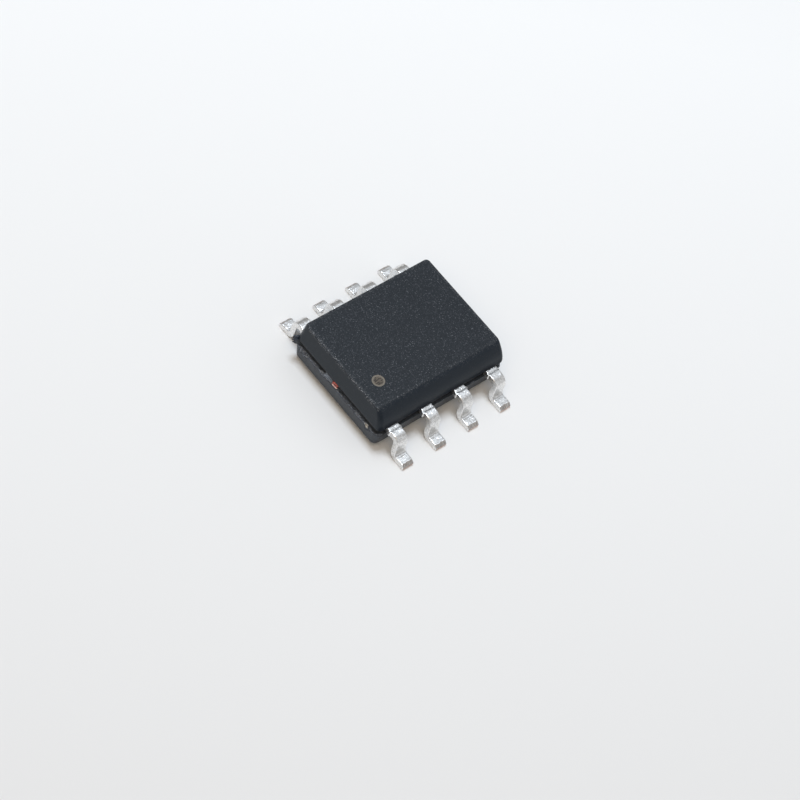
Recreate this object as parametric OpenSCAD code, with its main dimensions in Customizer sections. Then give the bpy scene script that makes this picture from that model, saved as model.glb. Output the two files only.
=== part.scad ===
// Two MOSFETs in an eight-lead small-outline package, in millimetres.
// The feet stand on z = 0, X runs along the body, and leads 1 to 4 are on the -Y side.

/* [Body] */
// Width of the upper half across the lead rows, at the parting line
body_width = 3.9; // [3.7:0.01:4.2]
// From the outermost lead's centre line to the end of the upper half, at the parting line
end_margin = 0.545; // [0.45:0.005:0.7]
// Height of the upper half, from the tops of the leads to the top face
upper_height = 0.69; // [0.6:0.01:0.9]
// Height of the lower half, from the underside to the bottoms of the leads
lower_height = 0.585; // [0.4:0.005:0.8]
// Gap between the seating plane and the underside of the body
standoff = 0.14; // [0.1:0.01:0.25]
// Lean of the side walls from the vertical, in degrees
draft_angle = 8; // [4:0.5:12]
// Radius of the upright corners, at the parting line
corner_radius = 0.22; // [0.16:0.01:0.4]
// How far the lower half's rim stands out past the upper half's edge
rim_ledge = 0.015; // [0.01:0.005:0.08]
// Depth of the recessed seam between the two halves
seam_depth = 0.06; // [0.02:0.005:0.12]
// Width of the bevel along the row of leads 1 to 4, seen from above
bevel_width = 0.3; // [0.2:0.01:0.45]
// Height of that bevel
bevel_height = 0.41; // [0.25:0.01:0.5]

/* [Marks] */
// Outer diameter of the ring that marks lead 1
ring_diameter = 0.4; // [0.3:0.01:0.6]
// Width of the ring's groove
ring_line = 0.055; // [0.03:0.005:0.1]
// Depth of the ring's groove
ring_depth = 0.015; // [0.01:0.005:0.05]
// From the ring's centre to the end of the upper half
ring_from_end = 0.74; // [0.5:0.01:1]
// From the ring's centre to the side of the upper half
ring_from_side = 1.15; // [0.8:0.01:1.4]
// Diameter of the ejector pin marks in the underside
ejector_diameter = 0.8; // [0.5:0.05:1.2]
// Depth of the ejector pin marks
ejector_depth = 0.03; // [0.01:0.005:0.06]
// Distance between the ejector pin marks
ejector_spacing = 2.6; // [1.6:0.1:3]

/* [Leads] */
// Distance between the centre lines of neighbouring leads
lead_pitch = 1.27; // [1.1:0.01:1.4]
// Width of a lead
lead_width = 0.4; // [0.33:0.01:0.51]
// Thickness of the leadframe strip
lead_thickness = 0.2; // [0.15:0.01:0.25]
// How far the toes reach out past the side of the upper half
lead_reach = 1; // [0.9:0.01:1.2]
// Length of a foot's flat sole
foot_length = 0.335; // [0.25:0.005:0.45]
// Lean of the legs from the vertical, in degrees
leg_lean = 3; // [0:0.5:12]
// Inside radius of the bend at the shoulder
shoulder_bend = 0.1; // [0.05:0.01:0.12]
// Inside radius of the bend at the foot
foot_bend = 0.1; // [0.05:0.01:0.15]
// How far the cut ends of the dam bar stand out from a lead's sides
stub_reach = 0.035; // [0.02:0.005:0.08]
// Length of those ends along the lead
stub_length = 0.1; // [0.08:0.01:0.16]
// Distance of those ends from the side of the upper half
stub_from_body = 0.08; // [0.05:0.01:0.12]

/* [Leadframe inside the body] */
// Width of a bond post
post_width = 0.62; // [0.58:0.01:0.8]
// Depth of a bond post
post_depth = 0.5; // [0.3:0.01:0.6]
// Distance of the bond posts from the side of the upper half
post_setback = 0.2; // [0.1:0.01:0.3]
// Gap between the bond posts and the paddles
post_gap = 0.25; // [0.15:0.01:0.4]
// Gap between the two paddles
paddle_gap = 0.24; // [0.15:0.01:0.4]
// Distance of a paddle from the end of the upper half
paddle_cover = 0.25; // [0.15:0.01:0.4]
// Distance of a paddle from the side of the upper half, along its leads
paddle_setback = 0.8; // [0.6:0.01:1]
// Diameter of the hole that locks a drain lead in the moulding
lock_hole = 0.16; // [0.1:0.01:0.25]
// Width of a tie bar
tie_bar_width = 0.22; // [0.2:0.01:0.4]

/* [Dies] */
// Length along X of the first die
first_die_length = 1.3; // [0.9:0.05:1.7]
// Width along Y of the first die
first_die_width = 1.5; // [1:0.05:1.8]
// Length along X of the second die
second_die_length = 1.5; // [0.9:0.05:1.7]
// Width along Y of the second die
second_die_width = 1.7; // [1:0.05:1.8]
// Thickness of the silicon
die_thickness = 0.2; // [0.1:0.01:0.25]
// Thickness of the die attach layer
attach_thickness = 0.03; // [0.02:0.005:0.05]
// How far the die attach layer shows round a die
attach_margin = 0.03; // [0.01:0.005:0.06]

/* [Wires] */
// Diameter of a bond wire
wire_diameter = 0.05; // [0.03:0.005:0.07]
// Diameter of the flattened ball that holds a wire on its die
ball_diameter = 0.1; // [0.09:0.005:0.14]
// Height of that ball
ball_height = 0.02; // [0.015:0.005:0.03]
// Diameter of the stitch that holds a wire on its post
stitch_diameter = 0.16; // [0.15:0.005:0.17]
// Height of that stitch
stitch_height = 0.03; // [0.02:0.005:0.04]
// Radius of a wire's bend over its bond on the die
wire_bend = 0.08; // [0.06:0.01:0.1]
// How much a wire's neck, over its bond on the die, is thicker all round than the wire
neck_wall = 0.005; // [0.003:0.001:0.01]
// How far a wire's neck laps over its bend
neck_lap = 0.01; // [0.005:0.001:0.02]
// Height of a wire's straight rise from the die
wire_rise = 0.15; // [0.1:0.01:0.2]
// Distance between the source wires
wire_pitch = 0.2; // [0.18:0.01:0.22]
// From the -X edge of a die to the middle of its source bonds
source_bond_from_edge = 0.4; // [0.3:0.01:0.45]
// From the front edge of a die to its source bonds
source_bond_inset = 0.35; // [0.3:0.01:0.5]
// From the +X edge of a die to its gate bond
gate_bond_from_edge = 0.25; // [0.1:0.01:0.3]
// From the front edge of a die to its gate bond
gate_bond_inset = 0.15; // [0.1:0.01:0.2]

/* [Hidden] */
$fn = 48;

leads_per_side = 4;
// How far a cutting shape runs past what it cuts
overcut = 1;

mould_colour = "#303338";
tin_colour = "#c8c8c4";
silicon_colour = "#5c6472";
attach_colour = "#a9adb2";
wire_colour = "#d8b152";

// Levels
lead_bottom = standoff + lower_height;
lead_top = lead_bottom + lead_thickness;
body_top = lead_top + upper_height;
die_bottom = lead_top + attach_thickness;
die_top = die_bottom + die_thickness;

// The upper half at the parting line
half_length = (leads_per_side - 1) * lead_pitch / 2 + end_margin;
half_width = body_width / 2;

// Centre lines of the bends, seen along X
shoulder_radius = shoulder_bend + lead_thickness / 2;
foot_radius = foot_bend + lead_thickness / 2;
shoulder_bend_z = lead_top - lead_thickness - shoulder_bend;
foot_bend_z = lead_thickness + foot_bend;
foot_bend_y = half_width + lead_reach - foot_length;
radii = shoulder_radius + foot_radius;
leg_length = (shoulder_bend_z - foot_bend_z + radii * sin(leg_lean)) / cos(leg_lean);
shoulder_bend_y = foot_bend_y - radii * cos(leg_lean) - leg_length * sin(leg_lean);
stub_start = min(half_width + stub_from_body, shoulder_bend_y - stub_length);

// The leadframe in plan
post_outer = half_width - post_setback;
post_inner = post_outer - post_depth;
paddle_front = -(post_inner - post_gap);
paddle_back = half_width - paddle_setback;
paddle_inner = paddle_gap / 2;
paddle_outer = half_length - paddle_cover;
die_x = (paddle_inner + paddle_outer) / 2;
die_y = (paddle_front + paddle_back) / 2;

first_die_size = [first_die_length, first_die_width];
second_die_size = [second_die_length, second_die_width];

// Middle of lead 1 to 4 along X
function lead_x(number) = (number - (leads_per_side + 1) / 2) * lead_pitch;

// Where the bonds of a die are, in plan
function front_edge(size) = die_y - size[1] / 2;
function gate_bond(side, size) = [
    side * die_x + size[0] / 2 - gate_bond_from_edge,
    front_edge(size) + gate_bond_inset,
];
function source_bond(side, size, step) = [
    side * die_x - size[0] / 2 + source_bond_from_edge + step * wire_pitch,
    front_edge(size) + source_bond_inset,
];
function post_bond(number, step) = [lead_x(number) + step * wire_pitch, -(post_inner + post_outer) / 2];

// A block with leaning walls and rounded upright corners, widest at z = 0
module drafted_block(length, width, radius, height) {
    lean = height * tan(draft_angle);
    centre_x = length / 2 - radius;
    centre_y = width / 2 - radius;
    rotate([90, 0, 90])
        translate([0, 0, -centre_x])
            linear_extrude(2 * centre_x)
                wall_section(width / 2, lean, height);
    rotate([90, 0, 0])
        translate([0, 0, -centre_y])
            linear_extrude(2 * centre_y)
                wall_section(length / 2, lean, height);
    for (side = [0, 1], turn = [0, 180])
        rotate([0, 0, turn])
            mirror([side, 0, 0])
                translate([centre_x, centre_y, 0])
                    rotate_extrude(angle = 90)
                        polygon([[0, 0], [radius, 0], [radius - lean, height], [0, height]]);
}

// Section of a block with leaning walls, standing on y = 0
module wall_section(half, lean, height) {
    polygon([[-half, 0], [half, 0], [half - lean, height], [-half + lean, height]]);
}

// A straight-walled block with rounded upright corners
module rounded_block(length, width, radius, height) {
    centre_x = length / 2 - radius;
    centre_y = width / 2 - radius;
    translate([-centre_x, -width / 2, 0])
        cube([2 * centre_x, width, height]);
    translate([-length / 2, -centre_y, 0])
        cube([length, 2 * centre_y, height]);
    for (side = [0, 1], turn = [0, 180])
        rotate([0, 0, turn])
            mirror([side, 0, 0])
                translate([centre_x, centre_y, 0])
                    rotate_extrude(angle = 90)
                        square([radius, height]);
}

// What the bevel takes off the upper half, as a prism along X
module bevel_cut() {
    foot_y = -half_width + (upper_height - bevel_height) * tan(draft_angle);
    step = [bevel_width, bevel_height];
    foot = [foot_y, body_top - bevel_height];
    rotate([90, 0, 90])
        translate([0, 0, -half_length - overcut])
            linear_extrude(2 * (half_length + overcut))
                polygon([
                    foot - step,
                    foot + 2 * step,
                    foot + [-overcut, 2 * bevel_height],
                    foot - [overcut, bevel_height],
                ]);
}

// The groove of the ring that marks lead 1
module ring_cut() {
    translate([-half_length + ring_from_end, -half_width + ring_from_side, body_top - ring_depth])
        rotate_extrude()
            translate([ring_diameter / 2 - ring_line, 0])
                square([ring_line, ring_depth + overcut]);
}

// The round marks that the mould's ejector pins leave in the underside
module ejector_cuts() {
    for (side = [-1, 1])
        translate([side * ejector_spacing / 2, 0, standoff + ejector_depth - overcut])
            cylinder(d = ejector_diameter, h = overcut);
}

// The two mould halves' form, with the seam between them
module moulding() {
    difference() {
        union() {
            translate([0, 0, lead_top])
                drafted_block(2 * half_length, 2 * half_width, corner_radius, upper_height);
            translate([0, 0, lead_bottom])
                rounded_block(
                    2 * (half_length - seam_depth),
                    2 * (half_width - seam_depth),
                    corner_radius - seam_depth,
                    lead_thickness
                );
            translate([0, 0, lead_bottom])
                mirror([0, 0, 1])
                    drafted_block(
                        2 * (half_length + rim_ledge),
                        2 * (half_width + rim_ledge),
                        corner_radius + rim_ledge,
                        lower_height
                    );
        }
        bevel_cut();
        ring_cut();
        ejector_cuts();
    }
}

module body() {
    color(mould_colour)
        difference() {
            moulding();
            source_lead_1();
            gate_lead_1();
            source_lead_2();
            gate_lead_2();
            drain_frame_1();
            drain_frame_2();
            die_attach_1();
            die_attach_2();
            die_1();
            die_2();
            gate_wire_1();
            source_wire_1a();
            source_wire_1b();
            source_wire_1c();
            gate_wire_2();
            source_wire_2a();
            source_wire_2b();
            source_wire_2c();
        }
}

// A strip's bend about an axis along X, from one angle over a sweep, in the YZ plane
module bend(inside, from, sweep) {
    rotate([90, 0, 90])
        rotate([0, 0, from])
            rotate_extrude(angle = sweep)
                translate([inside, -lead_width / 2])
                    square([lead_thickness, lead_width]);
}

// A gull-wing lead on x = 0 that runs out along +Y from inside the body
module formed_lead(inner_end) {
    translate([-lead_width / 2, inner_end, lead_bottom])
        cube([lead_width, shoulder_bend_y - inner_end, lead_thickness]);
    translate([-lead_width / 2 - stub_reach, stub_start, lead_bottom])
        cube([lead_width + 2 * stub_reach, stub_length, lead_thickness]);
    translate([0, shoulder_bend_y, shoulder_bend_z])
        bend(shoulder_bend, leg_lean, 90 - leg_lean);
    translate([0, foot_bend_y, foot_bend_z])
        rotate([leg_lean, 0, 0])
            translate([-lead_width / 2, -foot_bend - lead_thickness, 0])
                cube([lead_width, lead_thickness, leg_length]);
    translate([0, foot_bend_y, foot_bend_z])
        bend(foot_bend, 180 + leg_lean, 90 - leg_lean);
    translate([-lead_width / 2, foot_bend_y, 0])
        cube([lead_width, foot_length, lead_thickness]);
}

// Lead 1 to 4 with its bond post
module post_lead(number) {
    color(tin_colour)
        translate([lead_x(number), 0, 0])
            rotate([0, 0, 180]) {
                formed_lead(post_outer);
                translate([-post_width / 2, post_inner, lead_bottom])
                    cube([post_width, post_depth, lead_thickness]);
            }
}

module source_lead_1() {
    post_lead(1);
}

module gate_lead_1() {
    post_lead(2);
}

module source_lead_2() {
    post_lead(3);
}

module gate_lead_2() {
    post_lead(4);
}

// A paddle with its two drain leads and its tie bar, on the +X or -X side
module drain_frame(side) {
    color(tin_colour)
        mirror([(1 - side) / 2, 0, 0])
            difference() {
                union() {
                    translate([paddle_inner, paddle_front, lead_bottom])
                        cube([paddle_outer - paddle_inner, paddle_back - paddle_front, lead_thickness]);
                    translate([paddle_outer, die_y - tie_bar_width / 2, lead_bottom])
                        cube([half_length - paddle_outer, tie_bar_width, lead_thickness]);
                    for (number = [3, 4])
                        translate([lead_x(number), 0, 0])
                            formed_lead(paddle_back);
                }
                for (number = [3, 4])
                    translate([lead_x(number), half_width - paddle_setback / 2, lead_bottom - overcut / 2])
                        cylinder(d = lock_hole, h = lead_thickness + overcut);
            }
}

module drain_frame_1() {
    drain_frame(-1);
}

module drain_frame_2() {
    drain_frame(1);
}

// A flat plate centred over a paddle
module plate(side, size, bottom, thickness) {
    translate([side * die_x - size[0] / 2, die_y - size[1] / 2, bottom])
        cube([size[0], size[1], thickness]);
}

module die_attach(side, size) {
    margin = 2 * [attach_margin, attach_margin];
    color(attach_colour)
        plate(side, size + margin, lead_top, attach_thickness);
}

module die_attach_1() {
    die_attach(-1, first_die_size);
}

module die_attach_2() {
    die_attach(1, second_die_size);
}

module die_1() {
    color(silicon_colour)
        plate(-1, first_die_size, die_bottom, die_thickness);
}

module die_2() {
    color(silicon_colour)
        plate(1, second_die_size, die_bottom, die_thickness);
}

// A wire that rises from a die, bends over and runs straight down to a post
module bond_wire(start, end) {
    across = end - start;
    run = norm(across) - wire_bend;
    drop = die_top + wire_rise - lead_top;
    straight = sqrt(run * run + drop * drop - wire_bend * wire_bend);
    slope = atan2(drop, run) + atan2(wire_bend, straight);
    color(wire_colour)
        translate([start[0], start[1], 0])
            rotate([0, 0, atan2(across[1], across[0])]) {
                translate([0, 0, die_top])
                    cylinder(d = ball_diameter, h = ball_height);
                translate([0, 0, die_top])
                    cylinder(d = wire_diameter + 2 * neck_wall, h = wire_rise + neck_lap);
                translate([norm(across), 0, lead_top])
                    cylinder(d = stitch_diameter, h = stitch_height);
                difference() {
                    translate([wire_bend, 0, die_top + wire_rise])
                        rotate([90, 0, 0])
                            rotate([0, 0, 90 - slope]) {
                                rotate_extrude(angle = 90 + slope)
                                    translate([wire_bend, 0])
                                        circle(d = wire_diameter);
                                translate([wire_bend, 0, 0])
                                    rotate([90, 0, 0])
                                        cylinder(d = wire_diameter, h = straight + stitch_diameter);
                            }
                    translate([norm(across) - overcut / 2, -overcut / 2, lead_top - overcut])
                        cube(overcut);
                }
            }
}

module gate_wire_1() {
    bond_wire(gate_bond(-1, first_die_size), post_bond(2, 0));
}

module source_wire_1a() {
    bond_wire(source_bond(-1, first_die_size, -1), post_bond(1, -1));
}

module source_wire_1b() {
    bond_wire(source_bond(-1, first_die_size, 0), post_bond(1, 0));
}

module source_wire_1c() {
    bond_wire(source_bond(-1, first_die_size, 1), post_bond(1, 1));
}

module gate_wire_2() {
    bond_wire(gate_bond(1, second_die_size), post_bond(4, 0));
}

module source_wire_2a() {
    bond_wire(source_bond(1, second_die_size, -1), post_bond(3, -1));
}

module source_wire_2b() {
    bond_wire(source_bond(1, second_die_size, 0), post_bond(3, 0));
}

module source_wire_2c() {
    bond_wire(source_bond(1, second_die_size, 1), post_bond(3, 1));
}

body();
source_lead_1();
gate_lead_1();
source_lead_2();
gate_lead_2();
drain_frame_1();
drain_frame_2();
die_attach_1();
die_attach_2();
die_1();
die_2();
gate_wire_1();
source_wire_1a();
source_wire_1b();
source_wire_1c();
gate_wire_2();
source_wire_2a();
source_wire_2b();
source_wire_2c();
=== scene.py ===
"""Looks of an eight-lead MOSFET package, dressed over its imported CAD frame.

The moulded body, the four single leads and the two drain frames are rebuilt as fine meshes, with
rounded edges, chips, torn resin and cut ends. The dies, their attach layers and the wires inside stay
as they are in the frame and get materials. Lengths are in millimetres until a mesh is finished, and
the scale of a noise or texture is about the number of its features in a millimetre.
"""

import math

import bmesh
import bpy
import numpy as np
from mathutils import Matrix, Vector, noise
from mathutils.geometry import tessellate_polygon


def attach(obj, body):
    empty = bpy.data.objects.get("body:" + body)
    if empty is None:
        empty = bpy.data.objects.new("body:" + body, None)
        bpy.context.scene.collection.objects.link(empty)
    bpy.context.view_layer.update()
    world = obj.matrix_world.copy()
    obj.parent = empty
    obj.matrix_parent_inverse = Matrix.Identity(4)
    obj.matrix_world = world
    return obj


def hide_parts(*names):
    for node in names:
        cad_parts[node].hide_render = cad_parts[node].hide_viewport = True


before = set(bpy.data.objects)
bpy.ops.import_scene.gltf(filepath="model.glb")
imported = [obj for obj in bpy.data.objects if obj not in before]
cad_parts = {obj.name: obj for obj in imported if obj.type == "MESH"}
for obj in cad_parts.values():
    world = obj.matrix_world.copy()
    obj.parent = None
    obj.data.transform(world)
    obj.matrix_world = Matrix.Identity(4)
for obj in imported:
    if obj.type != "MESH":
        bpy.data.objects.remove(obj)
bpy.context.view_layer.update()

MM = 0.001

# The moulding: its outline at the rim of the lower half, its levels and how far each wall is set in
RIM_HALF_LENGTH, RIM_HALF_WIDTH, RIM_RADIUS = 2.465, 1.965, 0.235
UNDERSIDE, LEAD_BOTTOM, LEAD_TOP, BODY_TOP = 0.14, 0.725, 0.925, 1.615
DRAFT = math.tan(math.radians(8))
SEAM_INSET, LEDGE_INSET = 0.075, 0.015
FOOT_INSET = (LEAD_BOTTOM - UNDERSIDE) * DRAFT
TOP_INSET = LEDGE_INSET + (BODY_TOP - LEAD_TOP) * DRAFT
# Upright corners: the upper half's radius, the share of an inset that radii lose, and the least radius
UPPER_RADIUS, RADIUS_LOSS, LEAST_RADIUS = 0.2, 0.7, 0.02
# Rounding of the edges of the underside, the seam, the ledge above it and the top
FOOT_ROUND, SEAM_ROUND, LEDGE_ROUND, TOP_ROUND = 0.06, 0.012, 0.03, 0.03
# How far the skin runs on over the underside and the top before a flat cap closes it
UNDERSIDE_WIDTH, EDGE_WIDTH = 0.08, 0.12
# How far inside the seam a level counts as in it, and how far past the rim it still counts as on that
LEVEL_SLACK, RIM_SLACK = 0.01, 1e-6

# The bevel along the front, from its foot on the wall to the top face
BEVEL_FOOT = (-1.911, 1.205)
BEVEL_WIDTH, BEVEL_HEIGHT, BEVEL_ROUND, BEVEL_BLEND = 0.3, 0.41, 0.22, 0.12
# How wide the top's rounded edge is, and how fast the rings on the flat behind it leave the bevel
TOP_ARC, BEVEL_DRAW = 0.026, 0.5

# How deep the rim of the lower half is ragged, and the steps of the skin from plain to ragged parts
RAGGED_DEPTH = 0.16
COARSE, MEDIUM, FINE = 0.1, 0.04, 0.014
# Steps of the skin along a side, and their number round an upright corner and over a rounded edge
SIDE_STEP, CORNER_STEPS, ARC_STEPS = 0.018, 24, 5

# Marks in the two flat faces; a profile gives how far in from the rim, and how deep
RING_CENTRE, RING_OUTER, RING_LINE, RING_DEPTH, RING_LIP = (-1.71, -0.80), 0.2, 0.055, 0.015, 0.006
EJECTOR_RADIUS, EJECTOR_X = 0.4, 1.3
EJECTOR_PROFILE = ((0, 0), (0.012, 0.02), (0.03, 0.03))
CIRCLE_POINTS = 96

# The leads: a strip bent at the shoulder and at the foot
LEAD_X = (-1.905, -0.635, 0.635, 1.905)
LEAD_HALF_WIDTH, LEAD_HALF_THICKNESS = 0.2, 0.1
LEAD_UPPER_ROUND, LEAD_LOWER_ROUND = 0.026, 0.014
SHOULDER_RADIUS, FOOT_RADIUS, LEG_LEAN = 0.2, 0.2, math.radians(3)
TOE, FOOT_Y, ROOT_END = 2.95, 2.615, 1.85
SHOULDER_Z = LEAD_BOTTOM + LEAD_HALF_THICKNESS - SHOULDER_RADIUS
FOOT_Z = LEAD_HALF_THICKNESS + FOOT_RADIUS
RADII = SHOULDER_RADIUS + FOOT_RADIUS
LEG_LENGTH = (SHOULDER_Z - FOOT_Z + RADII * math.sin(LEG_LEAN)) / math.cos(LEG_LEAN)
SHOULDER_Y = FOOT_Y - RADII * math.cos(LEG_LEAN) - LEG_LENGTH * math.sin(LEG_LEAN)
# Points along a lead's root, each bend, the leg and the foot
ROOT_POINTS, BEND_POINTS, LEG_POINTS, FOOT_POINTS = 24, 21, 17, 20
# Steps round its edges and across it, and rows of points on its sides as shares of half its thickness
EDGE_STEPS, FACE_STEPS = 5, 12
SIDE_ROWS = (0.3, 0, -0.3)
# The cut ends of the dam bar: where they start and end, how far they stand out, over what lengths they
# rise and fall, and how far from the lead's middle line they begin to stand out and do so fully
STUB_START, STUB_END, STUB_REACH = 2.03, 2.10, 0.028
STUB_RISE, STUB_FALL, STUB_SIDES = 0.012, 0.01, (0.1, 0.17)
# The sheared toe: its slant, the edge that counts as cut, and from where and how far it sags and narrows
TOE_SLANT, TOE_EDGE = 0.09, 0.005
TOE_REACH, TOE_SAG, TOE_NARROWING = 0.07, 0.006, 0.03

# The leadframe inside the body
POST_INNER, POST_OUTER, POST_HALF_WIDTH = 1.25, 1.75, 0.31
PADDLE_INNER, PADDLE_OUTER, PADDLE_FRONT, PADDLE_BACK = 0.12, 2.2, -1.0, 1.15
LOCK_HOLE_RADIUS, LOCK_HOLE_Y, HOLE_POINTS = 0.08, 1.55, 32
# The tie bars: their place, the gap above and below, the rounding, and rings by reach and share of size
TIE_Y, TIE_HALF_WIDTH, TIE_ROOT, TIE_END = 0.075, 0.11, 2.3, 2.45
TIE_GAP, TIE_ROUND = 0.004, 0.02
TIE_RINGS = ((TIE_ROOT, 1), (TIE_END - 0.03, 1), (TIE_END - 0.008, 0.97), (TIE_END, 0.88))

# Which of a piece's materials a face has
RESIN_FACE, RING_FACE, HATCH_FACE = 0, 1, 2
TIN_FACE, CUT_FACE, COPPER_FACE = 0, 1, 2

# How a noise's seed moves the place that it is read at
SEED_SHIFT = (1, 1.7, 0.6)


def rough(point, amount, scale, seed=0.0):
    """Noise at a point, between minus this amount and this amount."""
    return amount * noise.noise(Vector(point) * scale + Vector([seed * share for share in SEED_SHIFT]))


def rough_level(spots, level, amount, scale, seed, rise):
    """Noise at each spot in plan on one level, changing this many times faster upward than along."""
    return np.array([rough((x, y, rise * level), amount, scale, seed) for x, y in spots])


def smooth_step(low, high, value):
    """0 below low, 1 above high, and a smooth rise between them."""
    t = np.clip((value - low) / (high - low), 0, 1)
    return t * t * (3 - 2 * t)


def smooth_max(a, b, blend):
    """The larger of a and b, rounded off where they are within blend of each other."""
    h = np.clip(0.5 + 0.5 * (a - b) / blend, 0, 1)
    return b + (a - b) * h + blend * h * (1 - h)


def rounded_path(corners):
    """A path through corners (a, b, radius, step), each rounded; step is the longest on the way to it."""
    spots = [np.array(c[:2], float) for c in corners]
    path = [spots[0]]

    def run_to(end, longest):
        start = path[-1]
        count = max(1, math.ceil(np.linalg.norm(end - start) / longest))
        path.extend(start + (end - start) * k / count for k in range(1, count + 1))

    for before, corner, after, (_, _, radius, step) in zip(spots, spots[1:], spots[2:], corners[1:]):
        into = (corner - before) / np.linalg.norm(corner - before)
        out = (after - corner) / np.linalg.norm(after - corner)
        turn = math.atan2(into[0] * out[1] - into[1] * out[0], into @ out)
        run_to(corner - into * radius * math.tan(abs(turn) / 2), step)
        if radius:
            start = path[-1]
            arm = np.array([into[1], -into[0]]) * math.copysign(radius, turn)
            for angle in np.linspace(0, turn, ARC_STEPS + 1)[1:]:
                swung = (
                    arm[0] * math.cos(angle) - arm[1] * math.sin(angle),
                    arm[0] * math.sin(angle) + arm[1] * math.cos(angle),
                )
                path.append(start - arm + np.array(swung))
    run_to(spots[-1], corners[-1][3])
    return np.array(path)


def circle(centre, radius, count):
    """Points of a circle in plan."""
    angles = [2 * math.pi * k / count for k in range(count)]
    return [(centre[0] + radius * math.cos(a), centre[1] + radius * math.sin(a)) for a in angles]


class Shell:
    """A mesh that is put together from lofted grids and flat caps."""

    def __init__(self, name, *materials):
        self.name, self.materials = name, materials
        self.points, self.faces, self.finish, self.flat = [], [], [], []
        self.weights = {}

    def add_points(self, points, **weights):
        """Adds points with their named weights and gives their numbers."""
        first = len(self.points)
        self.points += [tuple(p) for p in points]
        for name, values in weights.items():
            kept = self.weights.setdefault(name, [0.0] * first)
            kept += [0.0] * (first - len(kept)) + [float(v) for v in values]
        return list(range(first, len(self.points)))

    def add_circle(self, centre, radius, level, matte):
        """Adds a circle of points on one level and gives their numbers."""
        points = [(x, y, level) for x, y in circle(centre, radius, CIRCLE_POINTS)]
        return self.add_points(points, matte=[matte] * CIRCLE_POINTS)

    def add_faces(self, faces, material, flat=False):
        """Adds faces of one material, which are tuples of point numbers."""
        self.faces += faces
        self.finish += [material] * len(faces)
        self.flat += [flat] * len(faces)

    def loft(self, rings, material, flat=False):
        """Joins rings of equally many point numbers with quads."""
        for low, high in zip(rings, rings[1:]):
            count = len(low)
            quads = [(low[k], low[(k + 1) % count], high[(k + 1) % count], high[k]) for k in range(count)]
            self.add_faces(quads, material, flat)

    def cap(self, loops, material):
        """Fills the flat area inside the first loop of point numbers and outside the others."""
        numbers = [n for loop in loops for n in loop]
        triangles = tessellate_polygon([[Vector(self.points[n]) for n in loop] for loop in loops])
        self.add_faces([tuple(numbers[k] for k in t) for t in triangles], material, flat=True)

    def fan(self, loop, middle, material):
        """Closes a loop of point numbers with flat triangles that meet in a middle point."""
        centre, = self.add_points([middle])
        pairs = zip(loop, loop[1:] + loop[:1])
        self.add_faces([(centre, a, b) for a, b in pairs], material, flat=True)

    def build(self, node):
        """Makes the object, which stands for this node of the frame and rides on its root."""
        mesh = bpy.data.meshes.new(self.name)
        mesh.from_pydata([Vector(p) * MM for p in self.points], [], self.faces)
        for material in self.materials:
            mesh.materials.append(material)
        mesh.polygons.foreach_set("material_index", self.finish)
        mesh.polygons.foreach_set("use_smooth", [not f for f in self.flat])
        for name, values in self.weights.items():
            layer = mesh.attributes.new(name, "FLOAT", "POINT")
            layer.data.foreach_set("value", values + [0.0] * (len(self.points) - len(values)))
        work = bmesh.new()
        work.from_mesh(mesh)
        bmesh.ops.recalc_face_normals(work, faces=work.faces)
        work.to_mesh(mesh)
        work.free()
        piece = bpy.data.objects.new(self.name, mesh)
        bpy.context.scene.collection.objects.link(piece)
        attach(piece, "root")
        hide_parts(node)


# A Mix node has a set of sockets for each kind of value, under the same names
MIX_COLOUR_INPUTS, MIX_COLOUR_OUTPUT = (0, 6, 7), 2

# Ranges that a value is fitted from or to; most of a noise lies in the middle ones
WHOLE, FALLING = (0, 1), (1, 0)
MIDDLE, WIDE_MIDDLE = (0.35, 0.65), (0.3, 0.7)


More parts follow.
